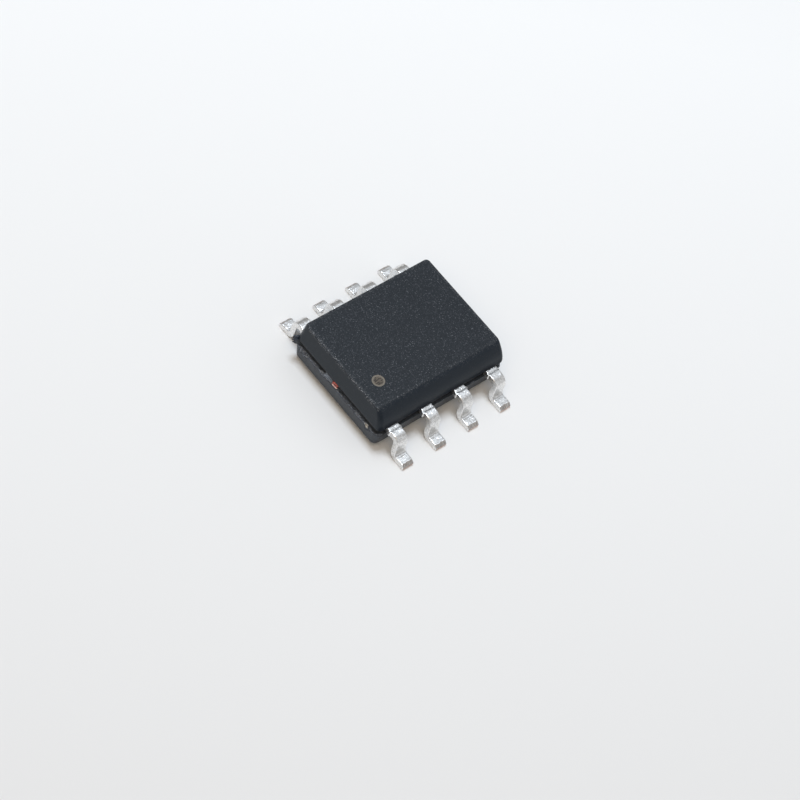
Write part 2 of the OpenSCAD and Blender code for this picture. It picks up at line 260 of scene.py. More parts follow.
class Paint:
    """A node material with a Principled shader, and short ways to wire textures into it."""

    def __init__(self, name):
        self.material = bpy.data.materials.new(name)
        self.material.use_nodes = True
        self.tree = self.material.node_tree
        self.shader = self.tree.nodes["Principled BSDF"]
        place = self.tree.nodes.new("ShaderNodeTexCoord")
        scale = self.node("ShaderNodeVectorMath", operation="SCALE")
        self.tree.links.new(place.outputs["Object"], scale.inputs[0])
        scale.inputs["Scale"].default_value = 1 / MM
        self.place = scale.outputs["Vector"]

    def node(self, kind, **settings):
        """Adds a node with these settings."""
        made = self.tree.nodes.new(kind)
        for name, value in settings.items():
            setattr(made, name, value)
        return made

    def put(self, socket, value):
        """Links a socket to another node's output, or sets its value."""
        if isinstance(value, bpy.types.NodeSocket):
            self.tree.links.new(value, socket)
        elif socket.type == "RGBA":
            socket.default_value = (*value, 1)
        else:
            socket.default_value = value

    def set(self, **values):
        """Sets sockets of the shader, with _ for a space in their names."""
        for name, value in values.items():
            self.put(self.shader.inputs[name.replace("_", " ")], value)

    def weight(self, name):
        """One of the named weights of the mesh's points."""
        return self.node("ShaderNodeAttribute", attribute_name=name).outputs["Fac"]

    def along(self, axis):
        """How far a place lies along X, Y or Z."""
        made = self.node("ShaderNodeSeparateXYZ")
        self.put(made.inputs["Vector"], self.place)
        return made.outputs[axis]

    def noise(self, scale, detail, place=None):
        """Noise between 0 and 1."""
        made = self.node("ShaderNodeTexNoise")
        self.put(made.inputs["Vector"], place or self.place)
        self.put(made.inputs["Scale"], scale)
        self.put(made.inputs["Detail"], detail)
        return made.outputs["Fac"]

    def streaks(self, scales, detail):
        """Noise with a scale of its own along each axis."""
        made = self.node("ShaderNodeVectorMath", operation="MULTIPLY")
        self.put(made.inputs[0], self.place)
        made.inputs[1].default_value = scales
        return self.noise(1, detail, made.outputs["Vector"])

    def cells(self, scale):
        """Distance to the nearest of scattered points, and that point's own random colour."""
        made = self.node("ShaderNodeTexVoronoi")
        self.put(made.inputs["Vector"], self.place)
        self.put(made.inputs["Scale"], scale)
        return made.outputs["Distance"], made.outputs["Color"]

    def math(self, operation, a, b=0.0):
        """A sum, product or the like of two values."""
        made = self.node("ShaderNodeMath", operation=operation)
        self.put(made.inputs[0], a)
        self.put(made.inputs[1], b)
        return made.outputs["Value"]

    def fit(self, value, source, target=WHOLE):
        """Moves a value from one range to another and holds it there."""
        made = self.node("ShaderNodeMapRange", interpolation_type="SMOOTHSTEP")
        for name, number in zip(("From Min", "From Max", "To Min", "To Max"), (*source, *target)):
            self.put(made.inputs[name], number)
        self.put(made.inputs["Value"], value)
        return made.outputs["Result"]

    def mix(self, share, a, b):
        """A colour between two, nearer to the second the larger the share."""
        made = self.node("ShaderNodeMix", data_type="RGBA")
        factor, first, second = (made.inputs[k] for k in MIX_COLOUR_INPUTS)
        self.put(factor, share)
        self.put(first, a)
        self.put(second, b)
        return made.outputs[MIX_COLOUR_OUTPUT]

    def bump(self, height, depth, under=None):
        """Relief of this depth, over another relief."""
        made = self.node("ShaderNodeBump")
        self.put(made.inputs["Height"], height)
        made.inputs["Distance"].default_value = depth * MM
        if under:
            self.put(made.inputs["Normal"], under)
        return made.outputs["Normal"]


# Colours of the resin, a pair where noise mixes two
SMOOTH_RESIN = ((0.0050, 0.0092, 0.0162), (0.0072, 0.0117, 0.0195))
MATTE_RESIN = ((0.0063, 0.0083, 0.0124), (0.0089, 0.0110, 0.0160))
# The lower half's pair is lighter, partly for its rougher resin and partly as painted bounce light from the
# floor
LOWER_RESIN_WITH_BOUNCE = ((0.030, 0.0365, 0.047), (0.038, 0.0445, 0.056))
BROKEN_RESIN = ((0.135, 0.15, 0.185), (0.38, 0.42, 0.48))
SPECK_COLOUR, RUBBED_COLOUR = (0.15, 0.16, 0.18), (0.38, 0.385, 0.40)
# Painted shade for the open seam's recess, then a painted white glint for a fresh chip
SEAM_SHADE_COLOUR, GLINT_COLOUR = (0.006, 0.006, 0.0065), (0.93, 0.935, 0.91)
# Noise in the resin by scale and detail, and scales of its scattered specks and crumbs
RESIN_DRIFT, RESIN_RIPPLE, RESIN_GRAIN, RESIN_DUST = (1.3, 4), (16, 3), (36, 3), (40, 1)
RUB_PATCHES, RUB_SCRATCHES, CRUMB_GRIT = (5, 3), (42, 2), (30, 3)
SPECK_SCALE, CRUMB_SCALE = 23, 19
# Specks: their sizes as shares of a cell, where a dot fades, and which specks and dust show how strongly
SPECK_SIZES, DOT_FADE = (0.14, 0.42), (0.5, 1)
SPECK_CHANCE, SPECK_STRENGTH = (0.25, 0.9), (0, 0.8)
DUST_RANGE, DUST_STRENGTH = (0.58, 0.74), (0, 0.35)
# Rubbed edges: where they are patchy and scratched, and the power by which the wear fades from an edge
RUB_PATCH_RANGE, RUB_PATCH_SHARE, RUB_SCRATCH_RANGE, RUB_FADE = (0.32, 0.62), (0.15, 1), (0.53, 0.7), 1.05
# Broken places: where crumbs turn from dark to pale, and where the painted glint on a fresh chip is white
# and how much
CRUMB_RANGE, GLINT_RANGE, GLINT_SHARE = (0.2, 1.1), (0.3, 0.8), (0.5, 1)
# Depths of the relief
RIPPLE_DEPTH, GRAIN_DEPTH, CRUMB_DEPTH = 0.0015, 0.007, 0.016
# Roughness from smooth to matte, what the grain adds to it, and that of broken places
RESIN_ROUGHNESS, GRAIN_ROUGHNESS, BROKEN_ROUGHNESS = (0.38, 0.5), (-0.04, 0.06), 0.75
# The dull band on the long walls above the seam, and the gloss off it and in it
DULL_SIDES = (RIM_HALF_WIDTH - 0.15, RIM_HALF_WIDTH - 0.07)
DULL_LEVELS = (LEAD_TOP + 0.04, LEAD_TOP + 0.34)
RESIN_GLOSS, GLOSS_TINT = (0.33, 0.06), (0.9, 0.965, 0.985)


def mould_paint():
    """Filled epoxy: matte with pale specks on top, smooth on the walls, torn in the seam, with painted
    light: floor bounce on the lower half, shade in the open seam, a glint on one chip.
    """
    p = Paint("mould_compound")
    matte, edge, torn, seam, flake = (p.weight(n) for n in ("matte", "edge", "torn", "seam", "flake"))
    height = p.along("Z")

    distance, chance = p.cells(SPECK_SCALE)
    parts = p.node("ShaderNodeSeparateColor")
    p.put(parts.inputs["Color"], chance)
    size = p.fit(parts.outputs["Green"], WHOLE, SPECK_SIZES)
    dot = p.fit(p.math("DIVIDE", distance, size), DOT_FADE, FALLING)
    speck = p.math("MULTIPLY", dot, p.fit(parts.outputs["Red"], SPECK_CHANCE, SPECK_STRENGTH))
    speck = p.math("MAXIMUM", speck, p.fit(p.noise(*RESIN_DUST), DUST_RANGE, DUST_STRENGTH))

    drift = p.noise(*RESIN_DRIFT)
    colour = p.mix(matte, p.mix(drift, *SMOOTH_RESIN), p.mix(drift, *MATTE_RESIN))
    # The lower half takes the lighter pair: its rougher resin, and painted bounce light from the floor
    lower = p.fit(height, (LEAD_BOTTOM, LEAD_TOP), FALLING)
    colour = p.mix(lower, colour, p.mix(drift, *LOWER_RESIN_WITH_BOUNCE))
    colour = p.mix(p.math("MULTIPLY", speck, matte), colour, SPECK_COLOUR)
    patches = p.fit(p.noise(*RUB_PATCHES), RUB_PATCH_RANGE, RUB_PATCH_SHARE)
    scratches = p.fit(p.noise(*RUB_SCRATCHES), RUB_SCRATCH_RANGE)
    rubbed = p.math("MULTIPLY", p.math("MAXIMUM", dot, scratches), patches)
    rubbed = p.math("MULTIPLY", rubbed, p.math("POWER", edge, RUB_FADE))
    colour = p.mix(rubbed, colour, RUBBED_COLOUR)
    # Painted shade in the open seam between the two halves
    colour = p.mix(seam, colour, SEAM_SHADE_COLOUR)
    crumb_edge, crumb_tone = p.cells(CRUMB_SCALE)
    crumb = p.math("SUBTRACT", p.math("ADD", crumb_tone, p.noise(*CRUMB_GRIT)), crumb_edge)
    colour = p.mix(torn, colour, p.mix(p.fit(crumb, CRUMB_RANGE), *BROKEN_RESIN))
    # A painted glint, white, on the chip near the front of the left end
    glint_amount = p.math("MULTIPLY", flake, p.fit(crumb, GLINT_RANGE, GLINT_SHARE))
    colour = p.mix(glint_amount, colour, GLINT_COLOUR)

    grain = p.noise(*RESIN_GRAIN)
    uneven = p.math("MAXIMUM", torn, seam)
    relief = p.bump(p.noise(*RESIN_RIPPLE), RIPPLE_DEPTH)
    relief = p.bump(p.math("MULTIPLY", grain, matte), GRAIN_DEPTH, relief)
    relief = p.bump(p.math("MULTIPLY", crumb, uneven), CRUMB_DEPTH, relief)
    plain = p.math("ADD", p.fit(matte, WHOLE, RESIN_ROUGHNESS), p.fit(grain, WIDE_MIDDLE, GRAIN_ROUGHNESS))
    roughness = p.math("MAXIMUM", plain, p.math("MULTIPLY", uneven, BROKEN_ROUGHNESS))
    by_leads = p.fit(p.math("ABSOLUTE", p.along("Y")), DULL_SIDES)
    dull = p.math("MULTIPLY", by_leads, p.fit(height, DULL_LEVELS, FALLING))
    dull = p.math("MULTIPLY", dull, p.math("SUBTRACT", 1.0, lower))
    p.set(Base_Color=colour, Roughness=roughness, Normal=relief)
    p.set(Specular_IOR_Level=p.fit(dull, WHOLE, RESIN_GLOSS), Specular_Tint=GLOSS_TINT)
    return p.material


# Burnt resin: noise of its ash and relief, and the gaps between strokes of the beam
ASH, ASH_RELIEF, ASH_DEPTH, ASH_ROUGHNESS = (30, 4), (40, 4), 0.01, 0.8
STROKE_SCALES, STROKE_DETAIL, STROKE_RANGE, STROKE_GAP = (9, 26, 1), 3, (0.34, 0.56), (0.022, 0.02, 0.018)
ETCHED_RESIN = ((0.13, 0.118, 0.1), (0.25, 0.228, 0.195))
HATCHED_RESIN = ((0.075, 0.062, 0.05), (0.15, 0.13, 0.105))


def etch_paint(name, colours, hatched):
    """Resin that a laser has burnt: dull and rough, all over or in close strokes."""
    p = Paint(name)
    ash = p.mix(p.noise(*ASH), *colours)
    if hatched:
        strokes = p.streaks(STROKE_SCALES, STROKE_DETAIL)
        ash = p.mix(p.fit(strokes, STROKE_RANGE), STROKE_GAP, ash)
    p.set(Base_Color=ash, Roughness=ASH_ROUGHNESS, Normal=p.bump(p.noise(*ASH_RELIEF), ASH_DEPTH))
    return p.material


# Tin: its colours, its noises by scale and detail, where pits and the painted shade of press marks show,
# depths and roughness
TIN = ((0.68, 0.675, 0.665), (0.94, 0.935, 0.925))
PIT_COLOUR, SHADED_TIN = (0.45, 0.44, 0.43), (0.36, 0.355, 0.345)
TIN_BLOTCH, TIN_GRIT, TIN_PITS = (21, 3), (45, 3), (22, 2)
PIT_RANGE, PIT_STRENGTH, MARK_SHADE_RANGE, MARK_SHADE_SHARE = (0.62, 0.72), (0, 0.5), (0.3, 0.6), (0.6, 1)
BLOTCH_DEPTH, GRIT_DEPTH = 0.007, 0.003
BLOTCH_ROUGHNESS, GRIT_ROUGHNESS = (0.33, 0.27), (-0.02, 0.03)


def tin_paint():
    """Matte tin plate: pale, finely mottled, pitted, and darkened with painted shade in its press marks."""
    p = Paint("tin_plate")
    blotch, grit = p.noise(*TIN_BLOTCH), p.noise(*TIN_GRIT)
    colour = p.mix(p.fit(blotch, MIDDLE), *TIN)
    colour = p.mix(p.fit(p.noise(*TIN_PITS), PIT_RANGE, PIT_STRENGTH), colour, PIT_COLOUR)
    worn = p.math("MULTIPLY", p.weight("worn"), p.fit(grit, MARK_SHADE_RANGE, MARK_SHADE_SHARE))
    # Painted shade that darkens the tin in the press marks' grooves
    colour = p.mix(worn, colour, SHADED_TIN)
    relief = p.bump(blotch, BLOTCH_DEPTH)
    relief = p.bump(grit, GRIT_DEPTH, relief)
    roughness = p.math(
        "ADD", p.fit(blotch, WIDE_MIDDLE, BLOTCH_ROUGHNESS), p.fit(grit, MIDDLE, GRIT_ROUGHNESS),
    )
    p.set(Base_Color=colour, Metallic=1.0, Roughness=roughness, Normal=relief)
    return p.material


# A sheared end: its streaks, how far they move the bands up and down, and each band's levels and share
SHEAR_SCALES, SHEAR_DETAIL, SHEAR_SHIFT, SHEAR_DEPTH = (34, 8, 5), 4, (-0.04, 0.04), 0.012
SHEAR_COLOURS, SHEAR_METAL, SHEAR_ROUGHNESS = ((0.33, 0.305, 0.29), (0.62, 0.595, 0.57)), 0.85, 0.5
BARE_LEVELS, BARE_SHARE, BARE_COLOUR = (0.06, 0.1), (0.8, 0), (0.55, 0.33, 0.27)
SMEAR_LEVELS, SMEAR_COLOUR = (0.02, 0.05), (0.78, 0.765, 0.75)


def cut_paint():
    """A lead's sheared end: brownish grey above, a line of bare copper, smeared tin at its foot."""
    p = Paint("sheared_end")
    streak = p.streaks(SHEAR_SCALES, SHEAR_DETAIL)
    colour = p.mix(p.fit(streak, MIDDLE), *SHEAR_COLOURS)
    height = p.math("ADD", p.along("Z"), p.fit(streak, WHOLE, SHEAR_SHIFT))
    colour = p.mix(p.fit(height, BARE_LEVELS, BARE_SHARE), colour, BARE_COLOUR)
    colour = p.mix(p.fit(height, SMEAR_LEVELS, FALLING), colour, SMEAR_COLOUR)
    p.set(Base_Color=colour, Metallic=SHEAR_METAL, Roughness=SHEAR_ROUGHNESS)
    p.set(Normal=p.bump(streak, SHEAR_DEPTH))
    return p.material


# A broken tie bar: its streaks and colours, and the painted highlight along its lower edge
BREAK_SCALES, BREAK_DETAIL, BREAK_SHIFT, BREAK_DEPTH = (6, 22, 14), 4, (-0.02, 0.02), 0.02
BREAK_COLOURS, BREAK_METAL, BREAK_ROUGHNESS = ((0.12, 0.016, 0.016), (0.74, 0.19, 0.15)), 0.7, 0.5
COPPER_HIGHLIGHT_LEVELS, COPPER_HIGHLIGHT_SHARE, COPPER_HIGHLIGHT_COLOUR = (LEAD_BOTTOM + 0.04, LEAD_BOTTOM + 0.08), (0.9, 0), (1.0, 0.72, 0.64)


def copper_paint():
    """A tie bar's end, broken off bare and gone dull, with a painted highlight along its lower edge."""
    p = Paint("bare_copper")
    streak = p.fit(p.streaks(BREAK_SCALES, BREAK_DETAIL), MIDDLE)
    colour = p.mix(streak, *BREAK_COLOURS)
    height = p.math("ADD", p.along("Z"), p.fit(streak, WHOLE, BREAK_SHIFT))
    # A painted highlight, pale pink, along the lower edge
    colour = p.mix(p.fit(height, COPPER_HIGHLIGHT_LEVELS, COPPER_HIGHLIGHT_SHARE), colour, COPPER_HIGHLIGHT_COLOUR)
    p.set(Base_Color=colour, Metallic=BREAK_METAL, Roughness=BREAK_ROUGHNESS)
    p.set(Normal=p.bump(streak, BREAK_DEPTH))
    return p.material


# Pieces inside: detail and depth of their cloud, and the shares of a roughness that it swings between
CLOUD_DETAIL, CLOUD_DEPTH, LEAST_SHARE, MOST_SHARE = 4, 0.002, 0.8, 1.2


def inner_paint(name, colours, scale, metallic, roughness):
    """Something inside the body: a fine cloud of two tones with a little relief."""
    p = Paint(name)
    cloud = p.noise(scale, CLOUD_DETAIL)
    swing = (roughness * LEAST_SHARE, roughness * MOST_SHARE)
    p.set(Base_Color=p.mix(cloud, *colours), Metallic=metallic)
    p.set(Roughness=p.fit(cloud, WIDE_MIDDLE, swing), Normal=p.bump(cloud, CLOUD_DEPTH))
    return p.material


def outline():
    """Round the body in plan: places on a square of half width 1, and the outward direction at each."""
    corners = [(1, -1), (1, 1), (-1, 1), (-1, -1)]
    lengths = (2 * RIM_HALF_WIDTH, 2 * RIM_HALF_LENGTH)
    places, outward = [], []
    for side, (start, end) in enumerate(zip(corners, corners[1:] + corners[:1])):
        facing = side * math.pi / 2
        count = round(lengths[side % 2] / SIDE_STEP)
        for k in range(count):
            places.append(np.array(start) + (np.array(end) - np.array(start)) * k / count)
            outward.append((math.cos(facing), math.sin(facing)))
        for k in range(CORNER_STEPS):
            angle = facing + math.pi / 2 * k / CORNER_STEPS
            places.append(np.array(end))
            outward.append((math.cos(angle), math.sin(angle)))
    return np.array(places), np.array(outward)


# Noise that shapes broken resin: amount, scale, seed, and how much faster it changes upward than along
RAGGED, CRUMBLY, SPLINTERED = (1, 9, 0, 1), (1, 30, 3, 1), (0.35, 14, 8, 2)
LUMPY, CRUMBED = (1, 11, 4, 1), (0.5, 30, 6, 1)
TONGUE_SWAY, TONGUE_TEETH = (0.5, 7, 5, 4), (0.4, 22, 7, 2)
# The rim's wear at the ends and along the sides: its depth, how much that changes, and the crumbly share
END_WEAR, SIDE_WEAR, END_CHANGE, SIDE_CHANGE, CRUMBLY_SHARE = 0.05, 0.008, 0.025, 0.008, 0.8
# Where the rim of the lower half is chipped: a place in plan, the chip's half width and its depth
LEFT, RIGHT, FRONT, BACK = -RIM_HALF_LENGTH, RIM_HALF_LENGTH, -RIM_HALF_WIDTH, RIM_HALF_WIDTH
CHIPS = (
    (LEFT, 1.5, 0.3, 0.19), (LEFT, 0.62, 0.16, 0.1), (LEFT, -1.05, 0.2, 0.09),
    (LEFT, -1.52, 0.16, 0.13), (LEFT, -0.5, 0.16, 0.07), (LEFT, 0.98, 0.14, 0.08),
    (RIGHT, 1.1, 0.2, 0.12), (RIGHT, -0.7, 0.14, 0.09), (RIGHT, -1.5, 0.1, 0.06),
    (1.25, FRONT, 0.1, 0.04), (-1.3, BACK, 0.12, 0.05), (0.1, BACK, 0.1, 0.04),
)
# A chip's share that is of full depth, how much its outline wanders, and its depth with how that changes
CHIP_CORE, CHIP_WANDER, CHIP_DEPTH, CHIP_CHANGE = 0.4, 0.45, 0.8, 0.5
# Breaks that are fresher and so paler than the rest: a place in plan, half the width, how much paler
FRESH_BREAKS = (
    (LEFT, 1.4, 0.55, 0.6), (LEFT, 0.6, 0.32, 0.6), (LEFT, -1.15, 0.4, 0.22), (RIGHT, 0.9, 0.5, 0.5),
)
OLD_BREAK = 0.42
# A painted glint, white, on the rim where a flake has come off: its place in plan and half its width
GLINT_PLACE, GLINT_HALF_WIDTH = (LEFT, -1.45), 0.125
# Stretches of the seam at each end along Y, away from the tie bar, and how far torn resin fills them
BANKS = {
    -1: ((-0.05, -1.8, 0.4), (0.19, 0.64, 2.0), (0.6, 1.8, 0.15)),
    1: ((-0.05, -0.7, 1.4), (-0.6, -1.8, 0.3), (0.19, 1.8, 0.5)),
}
# How far resin fills the seam elsewhere, where a stretch starts to taper, how lumpy the resin is, and
# how far behind the rim it stays
SIDE_BANK, BANK_TAPER, LUMP_SHARE, BANK_SETBACK = 0.08, 0.55, 0.45, 0.012
# The corner where the runner was broken off, which leaves a torn tongue of resin in the seam
GATE_CORNER, GATE_SPREAD, GATE_REACH, GATE_CORE = (-2.41, 1.91), 0.24, 0.14, 0.5

# How far the rim is pushed in where it begins to look torn or to show the painted glint, and where it fully
# does
TORN_PUSH, GLINT_PUSH = (0.004, 0.016), (0.014, 0.04)
# How torn the filling and the tongue look, and how much of the seam's shade the tongue takes away
TORN_FILLING, TORN_TONGUE, TONGUE_LIGHT = 0.9, 0.4, 0.3
# Wear of the top's edge by side, and how squarely an edge has to face a side to belong to it
LEFT_WEAR, FRONT_WEAR, OTHER_WEAR, FACING = 1, 0.2, 0.6, 0.5
# How matte the lower half, the upper walls, the top and the ejector marks are, and how fast the top fades
LOWER_MATTE, WALL_MATTE, TOP_MATTE, EJECTOR_MATTE, MATTE_FADE = 0.55, 0.12, 1, 0.3, 0.02


def bevel_front(level):
    """How far forward the bevel lets the body reach at each level, rounded into the top face."""
    slope = math.atan2(BEVEL_HEIGHT, BEVEL_WIDTH)
    top_edge = BEVEL_FOOT[0] + BEVEL_WIDTH
    arc_y = top_edge + BEVEL_ROUND * math.tan(slope / 2)
    arc_z = BODY_TOP - BEVEL_ROUND
    straight = BEVEL_FOOT[0] + (level - BEVEL_FOOT[1]) * BEVEL_WIDTH / BEVEL_HEIGHT
    rise = np.clip(level - arc_z, 0, BEVEL_ROUND)
    curved = arc_y - np.sqrt(BEVEL_ROUND**2 - rise**2)
    return np.where(rise > BEVEL_ROUND * math.cos(slope), curved, straight)


def above_rim(level):
    """Whether levels are above the rim of the lower half."""
    return level > LEAD_BOTTOM + LEVEL_SLACK


def in_seam(level):
    """Whether levels are between the two halves."""
    return above_rim(level) & (level < LEAD_TOP - LEVEL_SLACK)


def closeness(spots, place, half_width, core=CHIP_CORE, wander=0.0):
    """1 at spots near a place in plan, falling to 0 at half a width from it; wander shifts where."""
    far = np.array([math.dist(spot, place) for spot in spots]) / half_width
    return 1 - smooth_step(core, 1, far + wander)


def chipping(spots, path):
    """How far the rim of the lower half is pushed in, and as far down, at each level and spot."""
    ragged = rough_level(spots, 0, *RAGGED)
    crumbly = rough_level(spots, 0, *CRUMBLY)
    at_end = np.array([abs(x) > RIM_HALF_LENGTH - RIM_RADIUS for x, _ in spots])
    change = np.where(at_end, END_CHANGE, SIDE_CHANGE) * (ragged + CRUMBLY_SHARE * crumbly)
    chip = np.where(at_end, END_WEAR, SIDE_WEAR) + change
    for x, y, half_width, depth in CHIPS:
        near = closeness(spots, (x, y), half_width, wander=CHIP_WANDER * crumbly)
        chip += depth * near * (CHIP_DEPTH + CHIP_CHANGE * ragged)
    push = np.zeros((len(path), len(spots)))
    for row, (inset, level) in enumerate(path):
        if level < LEAD_BOTTOM + RIM_SLACK:
            splinters = 1 + rough_level(spots, level, *SPLINTERED)
            push[row] = np.clip(chip * splinters - (LEAD_BOTTOM - level + inset), 0, None) / 2
    return push


def seam_filling(spots, path):
    """How full of torn resin the seam is at each level and spot, from 0 to 1."""
    bank = np.full(len(spots), SIDE_BANK)
    for side, stretches in BANKS.items():
        for near, far, height in stretches:
            for k, (x, y) in enumerate(spots):
                along = (y - near) / (far - near)
                if side * x > RIM_HALF_LENGTH - RIM_RADIUS and 0 < along < 1:
                    bank[k] = max(bank[k], height * (1 - smooth_step(BANK_TAPER, 1, along)))
    full = np.zeros((len(path), len(spots)))
    for row, (_, level) in enumerate(path):
        if in_seam(level):
            rise = (level - LEAD_BOTTOM) / (LEAD_TOP - LEAD_BOTTOM)
            lumps = rough_level(spots, level, *LUMPY) + rough_level(spots, level, *CRUMBED)
            full[row] = np.clip(bank + LUMP_SHARE * lumps - rise, 0, 1)
    return full


def torn_tongue(spots, path):
    """How far the stump of the runner stands out of the seam at each level and spot."""
    near = closeness(spots, GATE_CORNER, GATE_SPREAD, core=GATE_CORE)
    reach = np.zeros((len(path), len(spots)))
    for row, (_, level) in enumerate(path):
        if in_seam(level):
            ragged = rough_level(spots, level, *TONGUE_SWAY) + rough_level(spots, level, *TONGUE_TEETH)
            reach[row] = near * GATE_REACH * (1 + ragged)
    return reach


def ring_mark(shell, edge):
    """The ring burnt into the top near the first lead, and the flat top round it out to this edge."""
    inner = RING_OUTER - RING_LINE
    groove = [
        (RING_OUTER, 0), (RING_OUTER - RING_LIP, RING_DEPTH), (inner + RING_LIP, RING_DEPTH), (inner, 0),
    ]
    loops = [shell.add_circle(RING_CENTRE, r, BODY_TOP - depth, TOP_MATTE) for r, depth in groove]
    shell.loft(loops, RING_FACE)
    shell.cap([loops[-1]], HATCH_FACE)
    shell.cap([edge, loops[0]], RESIN_FACE)


def ejector_marks(shell, edge):
    """The two round dents in the underside, and the flat round them out to this edge."""
    dents = []
    for x in (-EJECTOR_X, EJECTOR_X):
        loops = [
            shell.add_circle((x, 0), EJECTOR_RADIUS - inward, UNDERSIDE + depth, EJECTOR_MATTE)
            for inward, depth in EJECTOR_PROFILE
        ]
        shell.loft(loops, RESIN_FACE)
        shell.cap([loops[-1]], RESIN_FACE)
        dents.append(loops[0])
    shell.cap([edge, *dents], RESIN_FACE)


def moulded_body(*materials):
    """The moulding in one skin, from the underside over the rim, seam, wall and bevel to the top."""
    shell = Shell("moulded_body", *materials)
    places, outward = outline()
    bevel_start = BEVEL_FOOT[1] - BEVEL_BLEND
    path = rounded_path([
        (FOOT_INSET + UNDERSIDE_WIDTH, UNDERSIDE, 0, COARSE),
        (FOOT_INSET, UNDERSIDE, FOOT_ROUND, COARSE),
        (RAGGED_DEPTH * DRAFT, LEAD_BOTTOM - RAGGED_DEPTH, 0, COARSE),
        (0, LEAD_BOTTOM, SEAM_ROUND, FINE),
        (SEAM_INSET, LEAD_BOTTOM, SEAM_ROUND, FINE),
        (SEAM_INSET, LEAD_TOP, SEAM_ROUND, FINE),
        (LEDGE_INSET, LEAD_TOP, LEDGE_ROUND, FINE),
        (LEDGE_INSET + (bevel_start - LEAD_TOP) * DRAFT, bevel_start, 0, COARSE),
        (TOP_INSET, BODY_TOP, TOP_ROUND, MEDIUM),
        (TOP_INSET + EDGE_WIDTH, BODY_TOP, 0, MEDIUM),
    ])
    path_inset, path_level = path[:, :1], path[:, 1:]
    spots = places * (RIM_HALF_LENGTH - RIM_RADIUS, RIM_HALF_WIDTH - RIM_RADIUS) + outward * RIM_RADIUS
    push, full, reach = chipping(spots, path), seam_filling(spots, path), torn_tongue(spots, path)
    inset = path_inset + push - full * (SEAM_INSET - BANK_SETBACK) - reach
    level = path_level - push

    radius = np.where(above_rim(path_level), UPPER_RADIUS, RIM_RADIUS) - RADIUS_LOSS * path_inset
    radius = np.maximum(radius, LEAST_RADIUS)
    x = places[:, 0] * (RIM_HALF_LENGTH - inset - radius) + radius * outward[:, 0]
    back = RIM_HALF_WIDTH - inset
    bevel = bevel_front(level) + np.clip(inset - TOP_INSET - TOP_ARC, 0, None) * BEVEL_DRAW
    front = np.where(level > LEAD_TOP, smooth_max(-back, bevel, BEVEL_BLEND), -back)
    share = (places[:, 1] + 1) / 2
    y = (front + radius) * (1 - share) + (back - radius) * share + radius * outward[:, 1]

    tongue = np.clip(reach / GATE_REACH, 0, 1)
    fresh = OLD_BREAK + sum(paler * closeness(spots, (a, b), half) for a, b, half, paler in FRESH_BREAKS)
    torn = (smooth_step(*TORN_PUSH, push) + TORN_FILLING * full) * fresh + TORN_TONGUE * tongue
    torn = np.clip(torn, 0, 1)
    # Where the painted glint lies on the chipped rim
    flake = smooth_step(*GLINT_PUSH, push) * closeness(spots, GLINT_PLACE, GLINT_HALF_WIDTH)
    # Where the seam stays open, this weight carries its painted shade
    seam = np.where(in_seam(path_level), 1 - np.clip(full + TONGUE_LIGHT * tongue, 0, 1), 0)
    off_edge = np.abs(path_level - BODY_TOP) + np.abs(path_inset - TOP_INSET)
    wear = np.where(outward[:, 1] < -FACING, FRONT_WEAR, OTHER_WEAR)
    wear = np.where(outward[:, 0] < -FACING, LEFT_WEAR, wear)
    edge = np.clip(1 - off_edge / EDGE_WIDTH, 0, 1) * wear
    upper_matte = smooth_step(BODY_TOP - MATTE_FADE, BODY_TOP, level) + WALL_MATTE * (level > LEAD_TOP)
    matte = np.clip(np.where(above_rim(level), upper_matte, LOWER_MATTE), 0, TOP_MATTE)
    rings = []
    for row in range(len(path)):
        rings.append(shell.add_points(
            zip(x[row], y[row], level[row]),
            matte=matte[row], edge=edge[row], torn=torn[row], seam=seam[row], flake=flake[row],
        ))
    shell.loft(rings, RESIN_FACE)
    ring_mark(shell, rings[-1])
    ejector_marks(shell, rings[0])
    shell.build("body")


def lead_course():
    """A lead's middle line outside the body: distance from the body's middle, level and direction."""
    run = LEAD_BOTTOM + LEAD_HALF_THICKNESS
    steep = math.pi / 2 - LEG_LEAN
    course = [(y, run, 0.0) for y in np.linspace(ROOT_END, SHOULDER_Y, ROOT_POINTS)]
    for turn in np.linspace(0, steep, BEND_POINTS)[1:]:
        out, up = SHOULDER_RADIUS * math.sin(turn), SHOULDER_RADIUS * math.cos(turn)
        course.append((SHOULDER_Y + out, SHOULDER_Z + up, turn))
    start = course[-1]
    for along in np.linspace(0, LEG_LENGTH, LEG_POINTS)[1:]:
        course.append((start[0] + along * math.sin(LEG_LEAN), start[1] - along * math.cos(LEG_LEAN), steep))
    for turn in np.linspace(steep, 0, BEND_POINTS)[1:]:
        out, up = FOOT_RADIUS * math.sin(turn), FOOT_RADIUS * math.cos(turn)
        course.append((FOOT_Y - out, FOOT_Z - up, turn))
    course += [(y, LEAD_HALF_THICKNESS, 0.0) for y in np.linspace(FOOT_Y, TOE - TOE_EDGE, FOOT_POINTS)[1:]]
    course.append((TOE, LEAD_HALF_THICKNESS, 0.0))
    return course


